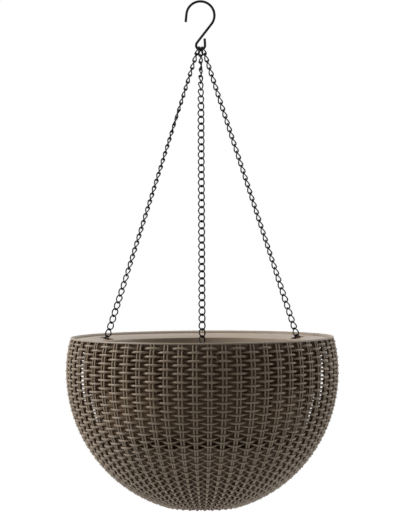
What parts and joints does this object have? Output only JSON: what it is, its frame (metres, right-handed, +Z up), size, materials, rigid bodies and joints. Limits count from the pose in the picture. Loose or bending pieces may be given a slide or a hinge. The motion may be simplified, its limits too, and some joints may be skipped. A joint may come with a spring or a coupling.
{
  "type": "hanging planter",
  "caption": "Round rattan-look hanging planter: a bowl of open moulded weave with a lift-out liner, hung by twisted-link chains from an S-hook.",
  "frame": {"origin": "inside of the S-hook's upper bend, at the point that bears on whatever it hangs from", "axes": "+Z up, +X to the right and -Y towards a viewer who faces the front chain; the S-hook lies in the XZ plane"},
  "size_m": [0.3484, 0.3484, 0.6478],
  "materials": {
    "coated_wire": "satin black coating on steel wire",
    "moulded_resin": "moulded rattan-look weave, matt taupe",
    "liner_resin": "smooth, satin taupe",
    "plug_rubber": "dark rubber"
  },
  "bodies": {
    "hook": {"s_hook": "coated_wire"},
    "top_links": {"front_chain_top_link": "coated_wire", "right_chain_top_link": "coated_wire", "left_chain_top_link": "coated_wire"},
    "planter": {"front_chain_run_01": "coated_wire", "front_chain_run_02": "coated_wire", "front_chain_run_03": "coated_wire", "front_chain_run_04": "coated_wire", "front_chain_run_05": "coated_wire", "front_chain_run_06": "coated_wire", "front_chain_run_07": "coated_wire", "front_chain_run_08": "coated_wire", "front_chain_run_09": "coated_wire", "front_chain_run_10": "coated_wire", "front_chain_run_11": "coated_wire", "front_chain_run_12": "coated_wire", "front_chain_run_13": "coated_wire", "front_chain_run_14": "coated_wire", "front_chain_end_link": "coated_wire", "right_chain_run_01": "coated_wire", "right_chain_run_02": "coated_wire", "right_chain_run_03": "coated_wire", "right_chain_run_04": "coated_wire", "right_chain_run_05": "coated_wire", "right_chain_run_06": "coated_wire", "right_chain_run_07": "coated_wire", "right_chain_run_08": "coated_wire", "right_chain_run_09": "coated_wire", "right_chain_run_10": "coated_wire", "right_chain_run_11": "coated_wire", "right_chain_run_12": "coated_wire", "right_chain_run_13": "coated_wire", "right_chain_run_14": "coated_wire", "right_chain_end_link": "coated_wire", "left_chain_run_01": "coated_wire", "left_chain_run_02": "coated_wire", "left_chain_run_03": "coated_wire", "left_chain_run_04": "coated_wire", "left_chain_run_05": "coated_wire", "left_chain_run_06": "coated_wire", "left_chain_run_07": "coated_wire", "left_chain_run_08": "coated_wire", "left_chain_run_09": "coated_wire", "left_chain_run_10": "coated_wire", "left_chain_run_11": "coated_wire", "left_chain_run_12": "coated_wire", "left_chain_run_13": "coated_wire", "left_chain_run_14": "coated_wire", "left_chain_end_link": "coated_wire", "outer_shell": "moulded_resin"},
    "liner": {"liner": "liner_resin"},
    "plug": {"drain_plug": "plug_rubber"}
  },
  "joints": [
    {"name": "rock_sideways", "type": "hinge", "parent": "hook", "child": "top_links", "pos_m": [0, 0, -0.0545], "axis": [0, 1, 0], "range_deg": [-20, 20]},
    {"name": "swing_front_to_back", "type": "hinge", "parent": "top_links", "child": "planter", "pos_m": [0, 0, -0.0674], "axis": [1, 0, 0], "range_deg": [-20, 20]},
    {"name": "lift_liner", "type": "slide", "parent": "planter", "child": "liner", "axis": [0, 0, 1], "range_m": [0, 0.008]},
    {"name": "pull_plug", "type": "slide", "parent": "liner", "child": "plug", "axis": [0, 0, 1], "range_m": [0, 0.02]}
  ]
}
